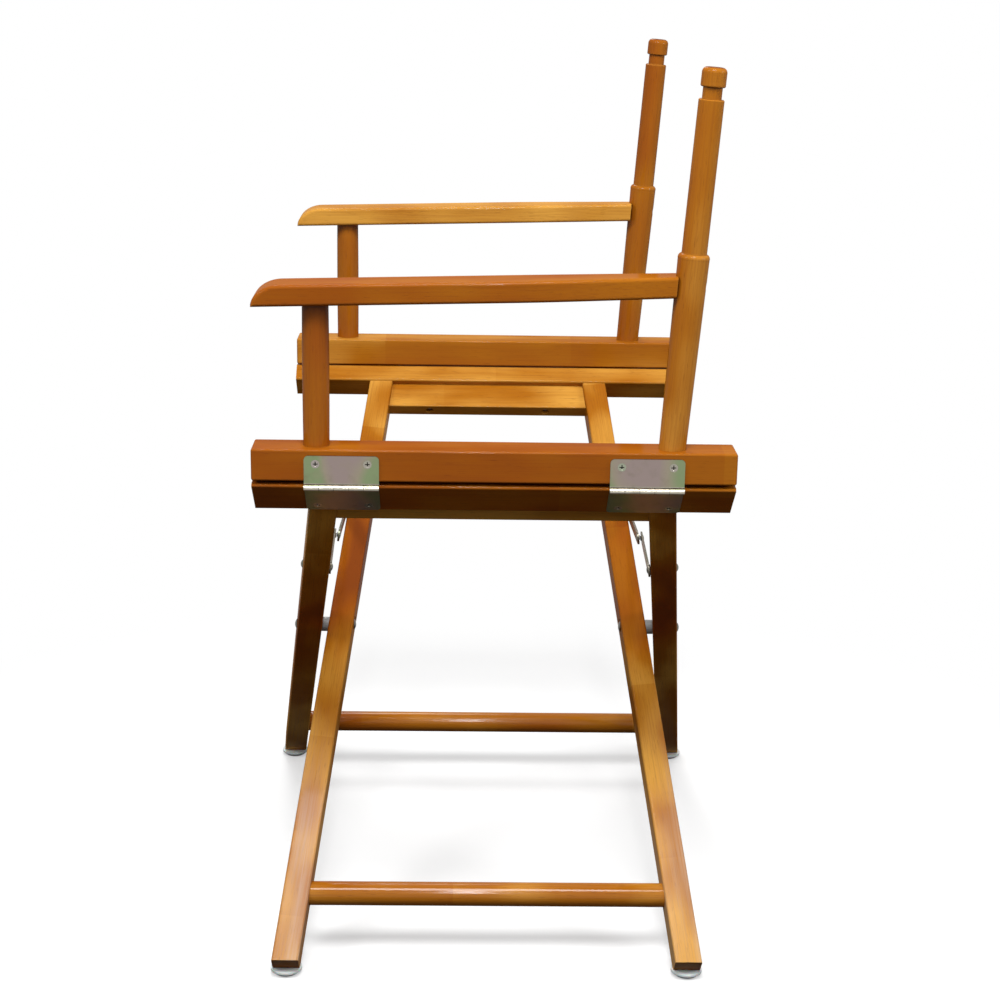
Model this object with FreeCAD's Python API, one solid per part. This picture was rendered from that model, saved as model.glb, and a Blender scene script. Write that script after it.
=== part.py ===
import FreeCAD, Part
import math
import os

# Folding director chair, frame only. Millimetres, +Z up, the sitter faces -Y.
# X = 0 is the middle of the seat, Z = 0 the floor. "left" is the sitter's left, +X.
# Two leg frames cross at the pivot bolts. The outer frame stands on the right and
# carries the left lower rail; the inner frame stands on the left and carries the
# right lower rail. Each arm assembly is hinged to the outer edge of its lower rail.

V = FreeCAD.Vector
ORIGIN = V(0, 0, 0)
X_AXIS = V(1, 0, 0)
Y_AXIS = V(0, 1, 0)
Z_AXIS = V(0, 0, 1)

# ---- driving dimensions -------------------------------------------------------
total_height = 851.0          # floor to the top of the rear posts
rail_length = 432.0           # front to back
rail_outer_x = 272.0          # outer face of the upper rails
edge_radius = 2.0             # eased edges of the sawn wood
leg_angle = 48.0              # leg from vertical, chair open

leg_thickness = 27.0          # in the plane of the fold
leg_width = 25.5              # front to back
foot_length = 369.0           # pivot to the square end of the foot
foot_flat = 8.0               # width of the level cut that carries the glide
leg_splay = 6.05              # the feet stand wider apart than the tops
inner_leg_inset = 63.6        # rail end to the middle of the inner leg at the pivot, along Y
leg_gap = 8.8                 # between inner and outer leg at the pivot
leg_tenon_diameter = 14.0
leg_tenon_length = 9.5

lower_rail_thickness = 30.0
lower_rail_outer_width = 48.0
lower_rail_inner_width = 19.0
seat_groove_width = 9.0       # channel for the dowel in the hem of the seat sling
seat_groove_depth = 9.5
cleat_width = 30.0
cleat_thickness = 17.0
cleat_edge_radius = 1.2
cleat_setback = 7.5           # below the inner face of the lower rail
cleat_screw_inset = 151.0     # rail end to a cleat screw

upper_rail_width = 38.0
upper_rail_height = 29.0

stretcher_diameter = 23.0
stretcher_from_foot = 72.0     # square end of the foot to the stretcher, along the leg
stretcher_tenon_diameter = 14.0
stretcher_tenon_length = 15.0
stretcher_socket_depth = 1.4

front_post_inset = 57.0       # rail end to the middle of the front post
front_post_diameter = 24.0
front_post_end_diameter = 23.4
rear_post_inset = 57.0
rear_post_lean = 4.0          # degrees back from vertical
rear_post_base_diameter = 24.4
rear_post_shoulder_diameter = 28.0
rear_post_shoulder = 176.0    # rail top to the shoulder, along the post
shoulder_rounding = 5.0       # height of the rounded shoulder
shoulder_swell_in = 0.25      # the shoulder's arc passes this share of its width in
shoulder_swell_down = 0.3     # and this share of its height down
shaft_chamfer = 0.8           # at the top of the shaft, under the neck
sling_shaft_diameter = 22.4   # upper part of the rear post, for the back sling
neck_diameter = 17.0
neck_length = 10.2
knob_diameter = 21.8
knob_length = 16.8
knob_radius = 4.5
knob_under_radius = 1.5
post_tenon_diameter = 16.0
rail_mortise_depth = 18.0
foot_allowance = 2.0          # spare length of the rear post, cut off level with its rail
arm_mortise_depth = 11.0

armrest_overhang = 3.0        # armrest outside the upper rail
armrest_front_width = 40.7
armrest_rear_width = 26.0
armrest_inner_shift = 2.0     # how far the inner edge moves out at the rear
armrest_thickness = 18.8
armrest_front_inset = 2.0     # rail end to the tip of the armrest
armrest_taper_inset = 176.0   # rear rail end to where the outer edge starts to run in
armrest_bend_radius = 700.0
armrest_rear_run = 18.0       # post axis back to where the rear width is measured
armrest_saddle_depth = 1.5    # how deep the rear end is hollowed to the round post
armrest_nose = 26.0           # length of the rounded nose
armrest_rise = 1.58           # degrees up towards the rear
armrest_height = 649.0        # underside above the floor, at y = 0
armrest_edge_radius = 3.0

hinge_length = 66.5
hinge_inset = 80.2            # rail end to the middle of a hinge
knuckle_count = 5
knuckle_radius = 2.6
knuckle_gap = 0.3
leaf_thickness = 1.4
leaf_corner_radius = 4.0
upper_leaf_height = 29.0      # pin to edge
lower_leaf_height = 45.5
upper_screw_height = 21.6     # pin to screw
lower_screw_height = 36.5
hinge_screw_inset = 10.2
hinge_pin_diameter = 2.4
pin_to_upper_rail = 5.2       # pin centre up to the underside of the upper rail
pin_to_rail_edge = 0.6        # pin centre down to the outer edge of the lower rail

wood_screw_diameter = 3.6
wood_screw_head = 7.6
wood_screw_head_height = 2.2
wood_screw_tip = 4.0
hinge_screw_length = 12.0
recess_width = 0.9            # cross recess in the screw heads
recess_span = 4.6
recess_depth = 1.4
cleat_screw_length = 46.0
cleat_screw_sink = 4.0
post_screw_length = 30.0
post_screw_sink = 3.0
arm_screw_length = 58.0
arm_screw_sink = 1.0

pivot_bolt_diameter = 6.0
pivot_head_diameter = 11.0
pivot_head_height = 2.2
pivot_barrel_diameter = 8.5   # barrel nut through the inner leg
pivot_barrel_end = 1.5        # barrel stops short of the leg's outer face
pivot_cap_height = 1.8
pivot_spacer_diameter = 15.0
pivot_spacer_clearance = 0.1
running_clearance = 0.08      # radial, bolts and pins in parts that turn on them

brace_distance = 146.0        # pivot to brace bolt, along the leg
brace_twist = 4.5             # brace plane turned from the leg's side face, degrees
link_width = 14.0
link_thickness = 1.8
outer_link_washer = 0.75      # between the outer leg and its link
inner_link_washer = 1.7       # between the inner leg and its link
link_washer_diameter = 11.0
brace_bolt_diameter = 5.0
brace_head_diameter = 9.0
brace_head_height = 2.2
brace_end_head_diameter = 8.0
brace_end_head_height = 1.4
rivet_diameter = 5.0
rivet_head_diameter = 8.5
rivet_head_height = 1.2
rivet_clearance = 0.25        # the two halves of the centre rivet never touch

glide_diameter = 30.0
glide_height = 5.5
glide_rim_height = 3.3        # the rim stands this far above the floor
glide_rim_radius = 1.5
glide_foot_diameter = 22.0
glide_nail_diameter = 3.0
glide_nail_length = 16.0

socket_clearance = 0.05       # radial, glued tenons and screws in wood
spot_face_margin = 1.5        # spot faces are this much larger than what sits on them
counterbore_margin = 1.0      # counterbores are this much wider than the screw head
blind_hole_room = 0.5         # blind holes run this much past what goes into them
arm_counterbore_run = 3.0     # the arm screw's counterbore starts this far off the post

past = 5.0                    # cutting blocks and drills run this far past the wood
beyond = 400.0                # half size of cutting blocks that clear the whole chair

# ---- derived places -----------------------------------------------------------
sin_leg = math.sin(math.radians(leg_angle))
cos_leg = math.cos(math.radians(leg_angle))
tan_splay = math.tan(math.radians(leg_splay))
cos_splay = math.cos(math.radians(leg_splay))
sin_splay = math.sin(math.radians(leg_splay))
leg_span_y = leg_width / cos_splay                # leg width measured along Y
inner_leg_y = rail_length / 2 - inner_leg_inset
outer_leg_y = inner_leg_y + leg_span_y + leg_gap
stretcher_distance = foot_length - stretcher_from_foot     # below the pivot

# places along the rails, from their ends
half_rail = rail_length / 2
front_post_y = front_post_inset - half_rail
rear_post_y = half_rail - rear_post_inset
hinge_y = half_rail - hinge_inset
cleat_screw_y = half_rail - cleat_screw_inset
armrest_front_y = armrest_front_inset - half_rail
armrest_taper_y = half_rail - armrest_taper_inset

# the level cut takes the lowest corner off the square end of the foot
foot_corner_drop = foot_length * cos_leg + leg_thickness / 2 * sin_leg
pivot_z = glide_height + foot_corner_drop - foot_flat * sin_leg * cos_leg
foot_corner_x = foot_length * sin_leg - leg_thickness / 2 * cos_leg
glide_x = foot_corner_x + foot_flat * cos_leg ** 2 - foot_flat / 2

# hinge pin: one knuckle radius outside the upper rail and outside the lower rail
pin_x = rail_outer_x + knuckle_radius
pin_out = lower_rail_thickness / 2 + knuckle_radius
pin_along = (pin_x - pin_out * cos_leg) / sin_leg
pin_z = pivot_z + pin_along * cos_leg - pin_out * sin_leg
rail_top_along = pin_along - pin_to_rail_edge
rail_bottom_along = rail_top_along - lower_rail_outer_width
upper_rail_bottom_z = pin_z + pin_to_upper_rail
upper_rail_top_z = upper_rail_bottom_z + upper_rail_height
post_x = rail_outer_x - upper_rail_width / 2
rear_post_length = (total_height - upper_rail_top_z) / math.cos(math.radians(rear_post_lean))

sides = {"front": -1, "rear": 1}


# ---- small helpers ------------------------------------------------------------
def box(x0, x1, y0, y1, z0, z1):
    return Part.makeBox(x1 - x0, y1 - y0, z1 - z0, V(x0, y0, z0))


def rod(start, direction, length, diameter):
    return Part.makeCylinder(diameter / 2, length, start, direction)


def revolve(points, rounded=()):
    """Turn a half profile of (radius, height) points about Z, and round the edges that are
    given as (height, radius, fillet)."""
    wire = Part.makePolygon([V(r, 0, z) for r, z in points] + [V(points[0][0], 0, points[0][1])])
    solid = Part.Face(wire).revolve(ORIGIN, Z_AXIS, 360)
    for height, radius, fillet in rounded:
        edges = [e for e in solid.Edges if is_ring(e, height, radius)]
        solid = solid.makeFillet(fillet, edges)
    return solid


def is_ring(edge, height, radius):
    if not isinstance(edge.Curve, Part.Circle):
        return False
    return abs(edge.Curve.Radius - radius) < 0.01 and abs(edge.Curve.Center.z - height) < 0.01


def parallel_edges(shape, direction):
    found = []
    for edge in shape.Edges:
        if not isinstance(edge.Curve, (Part.Line, Part.LineSegment)):
            continue
        if abs(abs(edge.tangentAt(edge.FirstParameter).dot(direction)) - 1) < 1e-4:
            found.append(edge)
    return found


def moved(shape, offset):
    copy = shape.copy()
    copy.translate(offset)
    return copy


def turned(shape, axis, angle, centre=ORIGIN):
    copy = shape.copy()
    copy.rotate(centre, axis, angle)
    return copy


def standing(shape):
    """Leg-frame coordinates (X out of the frame, Z along the leg) to the open chair."""
    return moved(turned(shape, Y_AXIS, leg_angle), V(0, 0, pivot_z))


def mirrored(shape):
    return shape.mirror(ORIGIN, X_AXIS)


def aimed(shape, origin, x_direction, z_direction):
    rotation = FreeCAD.Rotation(x_direction, z_direction.cross(x_direction), z_direction, "ZXY")
    copy = shape.copy()
    copy.Placement = FreeCAD.Placement(origin, rotation).multiply(copy.Placement)
    return copy


def cross_recess():
    """Cross-shaped driver recess, tapering to its bottom."""
    half = recess_width / 2
    reach = recess_span / 2
    bars = [box(-reach, reach, -half, half, -past, recess_depth),
            box(-half, half, -reach, reach, -past, recess_depth)]
    taper = Part.makeCone(reach, recess_width, recess_depth)
    mouth = rod(V(0, 0, -past), Z_AXIS, past, recess_span)
    return union(bars).common(union([taper, mouth]))


def wood_screw(tip_direction, head_centre, length):
    """Countersunk screw; head_centre is the middle of the flat top of the head."""
    half = wood_screw_diameter / 2
    head = wood_screw_head / 2
    points = [(0, 0), (head, 0), (half, wood_screw_head_height),
              (half, length - wood_screw_tip), (0, length)]
    profile = revolve(points).cut(cross_recess())
    side = X_AXIS if abs(tip_direction.x) < 0.9 else Y_AXIS
    across = side - tip_direction * side.dot(tip_direction)
    return aimed(profile, head_centre, across.normalize(), tip_direction)


def screw_hole(tip_direction, head_centre, length, sink):
    """Space for a wood screw whose head sits `sink` below the surface."""
    shank = rod(head_centre, tip_direction, length, wood_screw_diameter + 2 * socket_clearance)
    bore = rod(head_centre - tip_direction * sink, tip_direction, sink,
               wood_screw_head + counterbore_margin)
    half = wood_screw_diameter / 2 + socket_clearance
    head = wood_screw_head / 2 + socket_clearance
    cone = Part.makeCone(head, half, wood_screw_head_height, head_centre, tip_direction)
    parts = [shank, cone] + ([bore] if sink > 0 else [])
    return union(parts)


def union(shapes):
    result = shapes[0]
    for shape in shapes[1:]:
        result = result.fuse(shape)
    return result.removeSplitter()


# ---- leg frame, in leg-frame coordinates --------------------------------------
def leg_centre_y(pivot_y, along):
    return pivot_y - tan_splay * along


def brace_axis(side):
    """Brace bolt direction, away from the chair's middle, in leg-frame coordinates."""
    twist = math.radians(brace_twist)
    return V(-math.sin(twist), side * cos_splay * math.cos(twist), sin_splay * math.cos(twist))


def brace_seat(pivot_y, side, outside):
    """Where the brace bolt meets the side face of the leg."""
    y = leg_centre_y(pivot_y, brace_distance) + (leg_span_y / 2 if outside else -leg_span_y / 2)
    return V(0, side * y, brace_distance)


def brace_bolt_line(pivot_y, side, link_outside):
    """Link-side seat, head-side seat and direction of a brace bolt; its axis meets the middle of
    the leg's side face where the link is."""
    axis = brace_axis(side)
    towards_link = axis if link_outside else -axis
    link_seat = brace_seat(pivot_y, side, link_outside)
    through = leg_width / axis.dot(V(0, side * cos_splay, sin_splay))
    return link_seat, link_seat - towards_link * through, towards_link


def leg(pivot_y, side, link_outside):
    reach = foot_length + rail_top_along
    blank = box(-leg_thickness / 2, leg_thickness / 2, -leg_width / 2, leg_width / 2,
                -reach, reach)
    blank = blank.makeFillet(edge_radius, parallel_edges(blank, Z_AXIS))
    blank = turned(blank, X_AXIS, side * leg_splay)
    blank = moved(blank, V(0, side * pivot_y, 0))
    keep = box(-leg_thickness, leg_thickness, -beyond, beyond, -foot_length,
               rail_bottom_along)
    shape = blank.common(keep)
    tenon_y = side * leg_centre_y(pivot_y, rail_bottom_along)
    tenon = rod(V(0, tenon_y, rail_bottom_along - past), Z_AXIS, leg_tenon_length + past,
                leg_tenon_diameter)
    shape = shape.fuse(tenon).removeSplitter()
    return shape.cut(leg_holes(pivot_y, side, link_outside))


def leg_holes(pivot_y, side, link_outside):
    face = leg_span_y / 2
    tools = []
    # pivot bolt, with a spot face square to the bolt on both sides of the leg
    turning = pivot_barrel_diameter if pivot_y == inner_leg_y else pivot_bolt_diameter
    bore = turning + 2 * running_clearance
    tools.append(rod(V(0, side * pivot_y - leg_width, 0), Y_AXIS, 2 * leg_width, bore))
    spot = pivot_spacer_diameter + spot_face_margin
    for way in (-1, 1):
        tools.append(rod(V(0, side * pivot_y + way * face, 0), Y_AXIS * way, past, spot))
    # brace bolt, with a spot face square to the bolt on both sides
    link_seat, head_seat, towards_link = brace_bolt_line(pivot_y, side, link_outside)
    bore = brace_bolt_diameter + 2 * socket_clearance
    tools.append(rod(head_seat - towards_link * past, towards_link, leg_width + 3 * past, bore))
    spot = link_washer_diameter + spot_face_margin
    tools.append(rod(head_seat, -towards_link, past, spot))
    tools.append(rod(link_seat, towards_link, past, spot))
    # socket for the stretcher
    y = leg_centre_y(pivot_y, -stretcher_distance) - face
    tenon_bore = stretcher_tenon_diameter + 2 * socket_clearance
    seat_bore = stretcher_diameter + 2 * socket_clearance
    start = V(0, side * (y - past), -stretcher_distance)
    depth = stretcher_socket_depth + stretcher_tenon_length
    tools.append(rod(start, Y_AXIS * side, past + depth, tenon_bore))
    tools.append(rod(start, Y_AXIS * side, past + stretcher_socket_depth, seat_bore))
    return tools


def lower_rail(pivot_y):
    half = lower_rail_thickness / 2
    bottom = rail_bottom_along
    inner_top = bottom + lower_rail_inner_width
    outline = [V(-half, 0, bottom), V(half, 0, bottom), V(half, 0, rail_top_along),
               V(-half, 0, inner_top)]
    face = Part.Face(Part.makePolygon(outline + outline[:1]))
    shape = moved(face, V(0, -rail_length / 2, 0)).extrude(V(0, rail_length, 0))
    shape = shape.makeFillet(edge_radius, parallel_edges(shape, Y_AXIS))
    # dowel channel, square to the bevelled top
    bevel = V(2 * half, 0, rail_top_along - inner_top).normalize()
    inward = V(bevel.z, 0, -bevel.x)
    middle = V(0, 0, (rail_top_along + inner_top) / 2)
    radius = seat_groove_width / 2
    floor = middle + inward * (seat_groove_depth - radius)
    channel = rod(floor - Y_AXIS * rail_length, Y_AXIS, 2 * rail_length, seat_groove_width)
    corners = [floor - bevel * radius, floor + bevel * radius,
               middle - inward * past + bevel * radius, middle - inward * past - bevel * radius]
    mouth = Part.Face(Part.makePolygon(corners + corners[:1]))
    mouth = moved(mouth, V(0, -rail_length, 0)).extrude(V(0, 2 * rail_length, 0))
    shape = shape.cut([channel, mouth])
    tools = []
    for side in sides.values():
        y = side * leg_centre_y(pivot_y, bottom)
        tools.append(rod(V(0, y, bottom - past), Z_AXIS,
                         past + leg_tenon_length + blind_hole_room,
                         leg_tenon_diameter + 2 * socket_clearance))
        for head, _ in hinge_screw_places(side, lower_screw_height):
            place = V(half + leaf_thickness, head, pin_along - lower_screw_height)
            tools.append(screw_hole(-X_AXIS, place, hinge_screw_length + blind_hole_room, 0))
        tools.append(cleat_screw_hole(side))
    return shape.cut(tools)


def cleat_x_range():
    inner = -lower_rail_thickness / 2 + cleat_setback
    return inner, inner + cleat_thickness


def cleat_screw_head(side):
    x = sum(cleat_x_range()) / 2
    return V(x, side * cleat_screw_y, rail_bottom_along - cleat_width + cleat_screw_sink)


def cleat_screw_hole(side):
    return screw_hole(Z_AXIS, cleat_screw_head(side), cleat_screw_length + blind_hole_room,
                      cleat_screw_sink)


def cleat(pivot_y):
    """Board between the tops of the legs, screwed up into the lower rail."""
    top = rail_bottom_along
    bottom = top - cleat_width
    half_top = leg_centre_y(pivot_y, top) - leg_span_y / 2
    half_bottom = leg_centre_y(pivot_y, bottom) - leg_span_y / 2
    x0, x1 = cleat_x_range()
    corners = [V(x0, -half_bottom, bottom), V(x0, half_bottom, bottom), V(x0, half_top, top),
               V(x0, -half_top, top)]
    board = Part.Face(Part.makePolygon(corners + corners[:1])).extrude(V(x1 - x0, 0, 0))
    long_edges = [e for e in parallel_edges(board, Y_AXIS) if e.CenterOfMass.z < top - past]
    board = board.makeFillet(cleat_edge_radius, long_edges)
    return board.cut([cleat_screw_hole(side) for side in sides.values()])


def stretcher(pivot_y):
    y = leg_centre_y(pivot_y, -stretcher_distance) - leg_span_y / 2 + stretcher_socket_depth
    tip = y + stretcher_tenon_length
    place = V(0, -y, -stretcher_distance)
    body = rod(place, Y_AXIS, 2 * y, stretcher_diameter)
    tenons = rod(V(0, -tip, -stretcher_distance), Y_AXIS, 2 * tip, stretcher_tenon_diameter)
    return body.fuse(tenons).removeSplitter()


# ---- hinges -------------------------------------------------------------------
def hinge_screw_places(side, height):
    offset = hinge_length / 2 - hinge_screw_inset
    return [(side * hinge_y + way * offset, height) for way in (-1, 1)]


def knuckle_spans(own):
    """Y ranges of this leaf's knuckles (own 0: first, third, fifth; own 1: the others)."""
    pitch = hinge_length / knuckle_count
    start = -hinge_length / 2
    spans = []
    for index in range(knuckle_count):
        if index % 2 == own:
            trim = knuckle_gap / 2
            low = start + index * pitch + (trim if index > 0 else 0)
            high = start + (index + 1) * pitch - (trim if index < knuckle_count - 1 else 0)
            spans.append((low, high))
    return spans


def leaf(own, height, screw_height):
    """Hinge leaf in its own frame: pin along Y at the origin, plate towards +Z, screwed to the
    wood on its -X side."""
    back = -knuckle_radius
    plate = box(back, back + leaf_thickness, -hinge_length / 2, hinge_length / 2,
                knuckle_radius + knuckle_gap, height)
    corners = [e for e in parallel_edges(plate, X_AXIS)
               if e.CenterOfMass.z > height - leaf_corner_radius]
    plate = plate.makeFillet(leaf_corner_radius, corners)
    parts = [plate]
    for low, high in knuckle_spans(own):
        parts.append(box(back, back + leaf_thickness, low, high, 0, leaf_corner_radius))
        parts.append(rod(V(0, low, 0), Y_AXIS, high - low, 2 * knuckle_radius))
    shape = union(parts)
    bore = hinge_pin_diameter + (2 * running_clearance if own else 2 * socket_clearance)
    tools = [rod(V(0, -hinge_length, 0), Y_AXIS, 2 * hinge_length, bore)]
    for y, _ in hinge_screw_places(0, 0):
        place = V(back + leaf_thickness, y, screw_height)
        tools.append(screw_hole(-X_AXIS, place, hinge_screw_length, 0))
    return shape.cut(tools)


def lower_leaf(side):
    """Lower leaf on the outer face of the lower rail, in leg-frame coordinates."""
    shape = leaf(0, lower_leaf_height, lower_screw_height)
    shape = turned(shape, X_AXIS, 180).mirror(ORIGIN, Y_AXIS)
    return moved(shape, V(pin_out, side * hinge_y, pin_along))


def upper_leaf(side):
    shape = leaf(1, upper_leaf_height, upper_screw_height)
    return moved(shape, V(pin_x, side * hinge_y, pin_z))


def hinge_pin(side):
    start = V(pin_out, side * hinge_y - hinge_length / 2, pin_along)
    return rod(start, Y_AXIS, hinge_length, hinge_pin_diameter)


# ---- arm assembly, in chair coordinates, left side ----------------------------
def rear_post_direction():
    lean = math.radians(rear_post_lean)
    return V(0, math.sin(lean), math.cos(lean))


def rear_post_solid(extra=0.0):
    """Turned rear post standing on Z = 0 of its own axis, tenon below."""
    base = rear_post_base_diameter / 2 + extra
    shoulder = rear_post_shoulder_diameter / 2 + extra
    shaft = sling_shaft_diameter / 2
    knob = knob_diameter / 2
    neck = neck_diameter / 2
    tenon = post_tenon_diameter / 2
    top = rear_post_length
    knob_base = top - knob_length
    neck_base = knob_base - neck_length
    rounding_start = rear_post_shoulder - shoulder_rounding
    # the shoulder runs in to the shaft in one arc
    middle = V(shoulder - shoulder_swell_in * (shoulder - shaft), 0,
               rear_post_shoulder - shoulder_swell_down * shoulder_rounding)
    arc = Part.Arc(V(shoulder, 0, rounding_start), middle, V(shaft, 0, rear_post_shoulder))
    lines = [(shaft, rear_post_shoulder), (shaft, neck_base - shaft_chamfer),
             (shaft - shaft_chamfer, neck_base), (neck, neck_base), (neck, knob_base),
             (knob, knob_base), (knob, top), (0, top), (0, -rail_mortise_depth),
             (tenon, -rail_mortise_depth), (tenon, -foot_allowance), (base, -foot_allowance),
             (shoulder, rounding_start)]
    outline = Part.makePolygon([V(r, 0, z) for r, z in lines]).Edges
    wire = Part.Wire(Part.__sortEdges__(outline + [arc.toShape()]))
    solid = Part.Face(wire).revolve(ORIGIN, Z_AXIS, 360)
    for height, fillet in ((top, knob_radius), (knob_base, knob_under_radius)):
        rings = [e for e in solid.Edges if is_ring(e, height, knob)]
        solid = solid.makeFillet(fillet, rings)
    return solid


def on_rear_post(shape):
    shape = turned(shape, X_AXIS, -rear_post_lean)
    return moved(shape, V(post_x, rear_post_y, upper_rail_top_z))


def rear_post():
    shape = on_rear_post(rear_post_solid())
    # the leaning post is cut level with the top of its rail, around the tenon
    reach = rear_post_shoulder_diameter
    below = box(post_x - reach, post_x + reach, rear_post_y - reach, rear_post_y + reach,
                upper_rail_bottom_z, upper_rail_top_z)
    foot = V(post_x, rear_post_y, upper_rail_top_z)
    tenon = rod(foot - rear_post_direction() * beyond, rear_post_direction(), 2 * beyond,
                post_tenon_diameter)
    return shape.cut([below.cut(tenon), post_screw_hole("rear"), arm_screw_hole()])


def armrest_underside(y):
    return armrest_height + y * math.tan(math.radians(armrest_rise))


def front_post():
    height = armrest_underside(front_post_y) - upper_rail_top_z
    end = front_post_end_diameter / 2
    middle = front_post_diameter / 2
    tenon = post_tenon_diameter / 2
    top = height + arm_mortise_depth
    # slightly barrelled shaft: one arc through the two ends and the middle
    arc = Part.Arc(V(end, 0, 0), V(middle, 0, height / 2), V(end, 0, height)).toShape()
    lines = [V(end, 0, height), V(tenon, 0, height), V(tenon, 0, top), V(0, 0, top),
             V(0, 0, -rail_mortise_depth), V(tenon, 0, -rail_mortise_depth), V(tenon, 0, 0),
             V(end, 0, 0)]
    wire = Part.Wire([arc] + Part.makePolygon(lines).Edges)
    shape = Part.Face(wire).revolve(ORIGIN, Z_AXIS, 360)
    shape = moved(shape, V(post_x, front_post_y, upper_rail_top_z))
    # the top shoulder follows the rising underside of the armrest
    rise = math.tan(math.radians(armrest_rise)) * end
    ring = rod(V(post_x, front_post_y, upper_rail_top_z + height - rise), Z_AXIS, 3 * rise,
               2 * front_post_diameter)
    ring = ring.cut(rod(V(post_x, front_post_y, 0), Z_AXIS, total_height, post_tenon_diameter))
    shape = shape.cut([ring.common(armrest_block()), post_screw_hole("front")])
    return shape


def post_screw_hole(which):
    head, direction = post_screw_place(which)
    return screw_hole(direction, head, post_screw_length + blind_hole_room, post_screw_sink)


def post_screw_place(which):
    direction = Z_AXIS if which == "front" else rear_post_direction()
    y = front_post_y if which == "front" else rear_post_y
    foot = V(post_x, y, upper_rail_top_z)
    return foot - direction * (upper_rail_height / direction.z - post_screw_sink), direction


def arm_screw_place():
    """Screw through the rear post into the end of the armrest."""
    rise = math.radians(armrest_rise)
    direction = V(0, -math.cos(rise), -math.sin(rise))
    z = armrest_underside(rear_post_y) + armrest_thickness / 2
    lean = math.tan(math.radians(rear_post_lean))
    axis_y = rear_post_y + (z - upper_rail_top_z) * lean
    along = (z - upper_rail_top_z) / rear_post_shoulder
    radius = rear_post_base_diameter / 2
    radius += along * (rear_post_shoulder_diameter - rear_post_base_diameter) / 2
    surface = V(post_x, axis_y, z) - direction * radius
    return surface + direction * arm_screw_sink, direction


def arm_screw_hole():
    head, direction = arm_screw_place()
    return screw_hole(direction, head, arm_screw_length + blind_hole_room,
                      arm_screw_sink + arm_counterbore_run)


def upper_rail():
    shape = box(rail_outer_x - upper_rail_width, rail_outer_x, -rail_length / 2,
                rail_length / 2, upper_rail_bottom_z, upper_rail_top_z)
    shape = shape.makeFillet(edge_radius, shape.Edges)
    mortise = post_tenon_diameter + 2 * socket_clearance
    depth = rail_mortise_depth
    tools = [rod(V(post_x, front_post_y, upper_rail_top_z - depth), Z_AXIS, depth + past, mortise)]
    direction = rear_post_direction()
    foot = V(post_x, rear_post_y, upper_rail_top_z)
    tools.append(rod(foot - direction * depth, direction, depth + past, mortise))
    tools += [post_screw_hole(which) for which in sides]
    for side in sides.values():
        for y, height in hinge_screw_places(side, upper_screw_height):
            place = V(rail_outer_x + leaf_thickness, y, pin_z + height)
            tools.append(screw_hole(-X_AXIS, place, hinge_screw_length + blind_hole_room, 0))
    return shape.cut(tools)


def armrest_block():
    """The armrest before its holes and its coped rear end."""
    inner = rail_outer_x + armrest_overhang - armrest_front_width
    outer = rail_outer_x + armrest_overhang
    rear_inner = inner + armrest_inner_shift
    rear_y = rear_post_y + armrest_rear_run
    thick = armrest_thickness
    # side view: flat underside, quarter-ellipse nose, flat top
    front = armrest_front_y
    nose = Part.Ellipse(ORIGIN, armrest_nose, thick)
    nose_arc = nose.toShape(math.pi / 2, math.pi)
    nose_arc.rotate(ORIGIN, X_AXIS, 90)
    nose_arc.rotate(ORIGIN, Z_AXIS, 90)
    nose_arc.translate(V(0, front + armrest_nose, 0))
    lines = [V(0, front, 0), V(0, rear_y, 0), V(0, rear_y, thick),
             V(0, front + armrest_nose, thick)]
    wire = Part.Wire(Part.__sortEdges__(Part.makePolygon(lines).Edges + [nose_arc]))
    side_view = Part.Face(wire)
    side_solid = moved(side_view, V(inner - past, 0, 0))
    side_solid = side_solid.extrude(V(outer - inner + 2 * past, 0, 0))
    # top view: straight to the taper, one long arc, then in towards the rear post
    bend = V(outer, armrest_taper_y, 0)
    rear_corner = V(rear_inner + armrest_rear_width, rear_y, 0)
    onward = (rear_corner - bend).normalize()
    half_turn = Y_AXIS.getAngle(onward) / 2
    tangent = armrest_bend_radius * math.tan(half_turn)
    arc_start = bend - Y_AXIS * tangent
    arc_end = bend + onward * tangent
    into = (arc_start + arc_end) / 2 - bend
    sag = armrest_bend_radius * (1 / math.cos(half_turn) - 1)
    arc = Part.Arc(arc_start, bend + into.normalize() * sag, arc_end).toShape()
    lines = [arc_end, rear_corner, V(rear_inner, rear_y, 0), V(inner, armrest_taper_y, 0),
             V(inner, front - past, 0), V(outer, front - past, 0), arc_start]
    plan_wire = Part.Wire(Part.__sortEdges__(Part.makePolygon(lines).Edges + [arc]))
    plan_solid = moved(Part.Face(plan_wire), V(0, 0, -past)).extrude(V(0, 0, thick + 2 * past))
    shape = side_solid.common(plan_solid)
    long_edges = [e for e in shape.Edges if rounds_over(e, front, rear_y)]
    shape = shape.makeFillet(armrest_edge_radius, long_edges)
    shape = turned(shape, X_AXIS, armrest_rise)
    return moved(shape, V(0, 0, armrest_height))


def rounds_over(edge, front, rear_y):
    """Edges that run along the armrest, and the short one under its nose."""
    box_ = edge.BoundBox
    along = box_.YLength > 5
    return along and box_.YMin > front - 0.1 and box_.YMax < rear_y + 0.1


def armrest():
    shape = armrest_block()
    cope = on_rear_post(rear_post_solid(extra=socket_clearance))
    end_y = rear_post_y - rear_post_shoulder_diameter / 2 + armrest_saddle_depth
    behind = box(0, beyond, end_y, beyond, upper_rail_top_z, total_height)
    behind = turned(behind, X_AXIS, -rear_post_lean, V(0, rear_post_y, upper_rail_top_z))
    mortise = rod(V(post_x, front_post_y, armrest_underside(front_post_y) - past), Z_AXIS,
                  past + arm_mortise_depth + blind_hole_room,
                  post_tenon_diameter + 2 * socket_clearance)
    return shape.cut([cope, behind, mortise, arm_screw_hole()])


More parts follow.
